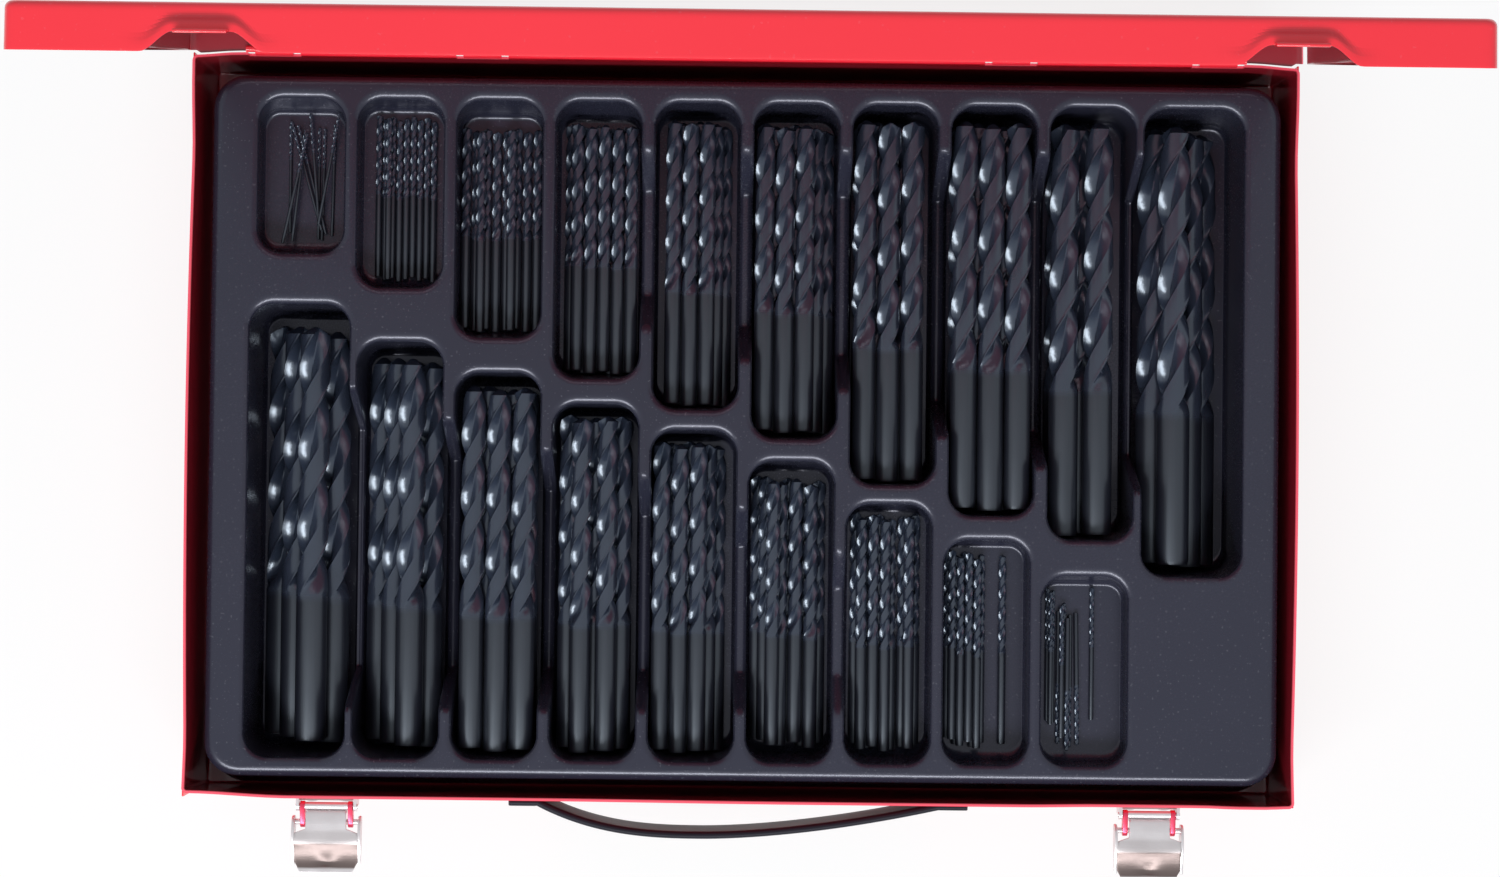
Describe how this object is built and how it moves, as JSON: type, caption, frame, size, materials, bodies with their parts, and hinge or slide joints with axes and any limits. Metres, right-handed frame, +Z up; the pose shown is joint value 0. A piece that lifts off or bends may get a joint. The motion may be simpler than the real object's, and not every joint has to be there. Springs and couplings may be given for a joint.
{
  "type": "drill bit case",
  "caption": "Flat sheet steel case with a hinged lid, two over-centre latches, a strap handle and a formed tray holding a graded set of twist drills.",
  "frame": {"origin": "centre of the underside of the base", "axes": "+X to the right, along the long side; +Y towards the hinge, so the latches are at -Y; +Z up"},
  "size_m": [0.3344, 0.2563, 0.264],
  "materials": {
    "red_paint": "glossy signal red enamel on sheet steel",
    "nickel": "bright nickel plate",
    "steel_wire": "steel wire, enamelled with the case",
    "stud_black": "black enamelled stud heads",
    "strap_plastic": "flexible black plastic with fine lengthwise ribs",
    "tray_plastic": "vacuum formed sheet, dark blue grey, satin",
    "black_oxide": "black oxide high speed steel, ground flutes"
  },
  "bodies": {
    "base": {"base_pan": "red_paint", "hinge_wire": "steel_wire", "handle_strap": "strap_plastic", "handle_studs": "stud_black", "latch_left_bracket": "nickel", "latch_left_rivets": "nickel", "latch_left_link_pin": "nickel", "latch_right_bracket": "nickel", "latch_right_rivets": "nickel", "latch_right_link_pin": "nickel"},
    "lid": {"lid_pan": "red_paint"},
    "tray": {"tray": "tray_plastic"},
    "link_left": {"latch_left_link": "nickel"},
    "hasp_left": {"latch_left_hasp": "nickel", "latch_left_hasp_pin": "nickel"},
    "link_right": {"latch_right_link": "nickel"},
    "hasp_right": {"latch_right_hasp": "nickel", "latch_right_hasp_pin": "nickel"},
    "drills_1_0": {"drills_1_0": "black_oxide"},
    "drills_1_5": {"drills_1_5": "black_oxide"},
    "drills_2_0": {"drills_2_0": "black_oxide"},
    "drills_2_5": {"drills_2_5": "black_oxide"},
    "drills_3_0": {"drills_3_0": "black_oxide"},
    "drills_3_5": {"drills_3_5": "black_oxide"},
    "drills_4_0": {"drills_4_0": "black_oxide"},
    "drills_4_5": {"drills_4_5": "black_oxide"},
    "drills_5_0": {"drills_5_0": "black_oxide"},
    "drills_5_5": {"drills_5_5": "black_oxide"},
    "drills_6_0": {"drills_6_0": "black_oxide"},
    "drills_6_5": {"drills_6_5": "black_oxide"},
    "drills_7_0": {"drills_7_0": "black_oxide"},
    "drills_7_5": {"drills_7_5": "black_oxide"},
    "drills_8_0": {"drills_8_0": "black_oxide"},
    "drills_8_5": {"drills_8_5": "black_oxide"},
    "drills_9_0": {"drills_9_0": "black_oxide"},
    "drills_9_5": {"drills_9_5": "black_oxide"},
    "drills_10_0": {"drills_10_0": "black_oxide"}
  },
  "joints": [
    {"name": "lid_hinge", "type": "hinge", "parent": "base", "child": "lid", "pos_m": [0, 0.11205, 0.038], "axis": [-1, 0, 0], "range_deg": [-81.2, 18.8]},
    {"name": "link_left_turn", "type": "hinge", "parent": "base", "child": "link_left", "pos_m": [-0.1225, -0.1134, 0.0356], "axis": [1, 0, 0], "range_deg": [-90, 0]},
    {"name": "hasp_left_turn", "type": "hinge", "parent": "link_left", "child": "hasp_left", "pos_m": [-0.1225, -0.1182, 0.0346], "axis": [1, 0, 0], "range_deg": [0, 180]},
    {"name": "link_right_turn", "type": "hinge", "parent": "base", "child": "link_right", "pos_m": [0.1225, -0.1134, 0.0356], "axis": [1, 0, 0], "range_deg": [-90, 0]},
    {"name": "hasp_right_turn", "type": "hinge", "parent": "link_right", "child": "hasp_right", "pos_m": [0.1225, -0.1182, 0.0346], "axis": [1, 0, 0], "range_deg": [0, 180]},
    {"name": "tray_lift", "type": "slide", "parent": "base", "child": "tray", "axis": [0, 0, 1], "range_m": [0, 0.045]},
    {"name": "drills_1_0_lift", "type": "slide", "parent": "tray", "child": "drills_1_0", "axis": [0, 0, 1], "range_m": [0, 0.05]},
    {"name": "drills_1_5_lift", "type": "slide", "parent": "tray", "child": "drills_1_5", "axis": [0, 0, 1], "range_m": [0, 0.05]},
    {"name": "drills_2_0_lift", "type": "slide", "parent": "tray", "child": "drills_2_0", "axis": [0, 0, 1], "range_m": [0, 0.05]},
    {"name": "drills_2_5_lift", "type": "slide", "parent": "tray", "child": "drills_2_5", "axis": [0, 0, 1], "range_m": [0, 0.05]},
    {"name": "drills_3_0_lift", "type": "slide", "parent": "tray", "child": "drills_3_0", "axis": [0, 0, 1], "range_m": [0, 0.05]},
    {"name": "drills_3_5_lift", "type": "slide", "parent": "tray", "child": "drills_3_5", "axis": [0, 0, 1], "range_m": [0, 0.05]},
    {"name": "drills_4_0_lift", "type": "slide", "parent": "tray", "child": "drills_4_0", "axis": [0, 0, 1], "range_m": [0, 0.05]},
    {"name": "drills_4_5_lift", "type": "slide", "parent": "tray", "child": "drills_4_5", "axis": [0, 0, 1], "range_m": [0, 0.05]},
    {"name": "drills_5_0_lift", "type": "slide", "parent": "tray", "child": "drills_5_0", "axis": [0, 0, 1], "range_m": [0, 0.05]},
    {"name": "drills_5_5_lift", "type": "slide", "parent": "tray", "child": "drills_5_5", "axis": [0, 0, 1], "range_m": [0, 0.05]},
    {"name": "drills_6_0_lift", "type": "slide", "parent": "tray", "child": "drills_6_0", "axis": [0, 0, 1], "range_m": [0, 0.05]},
    {"name": "drills_6_5_lift", "type": "slide", "parent": "tray", "child": "drills_6_5", "axis": [0, 0, 1], "range_m": [0, 0.05]},
    {"name": "drills_7_0_lift", "type": "slide", "parent": "tray", "child": "drills_7_0", "axis": [0, 0, 1], "range_m": [0, 0.05]},
    {"name": "drills_7_5_lift", "type": "slide", "parent": "tray", "child": "drills_7_5", "axis": [0, 0, 1], "range_m": [0, 0.05]},
    {"name": "drills_8_0_lift", "type": "slide", "parent": "tray", "child": "drills_8_0", "axis": [0, 0, 1], "range_m": [0, 0.05]},
    {"name": "drills_8_5_lift", "type": "slide", "parent": "tray", "child": "drills_8_5", "axis": [0, 0, 1], "range_m": [0, 0.05]},
    {"name": "drills_9_0_lift", "type": "slide", "parent": "tray", "child": "drills_9_0", "axis": [0, 0, 1], "range_m": [0, 0.05]},
    {"name": "drills_9_5_lift", "type": "slide", "parent": "tray", "child": "drills_9_5", "axis": [0, 0, 1], "range_m": [0, 0.05]},
    {"name": "drills_10_0_lift", "type": "slide", "parent": "tray", "child": "drills_10_0", "axis": [0, 0, 1], "range_m": [0, 0.05]}
  ],
  "couplings": [
    {"joint": "hasp_left_turn", "follows": "link_left_turn", "ratio": -2},
    {"joint": "hasp_right_turn", "follows": "link_right_turn", "ratio": -2}
  ]
}
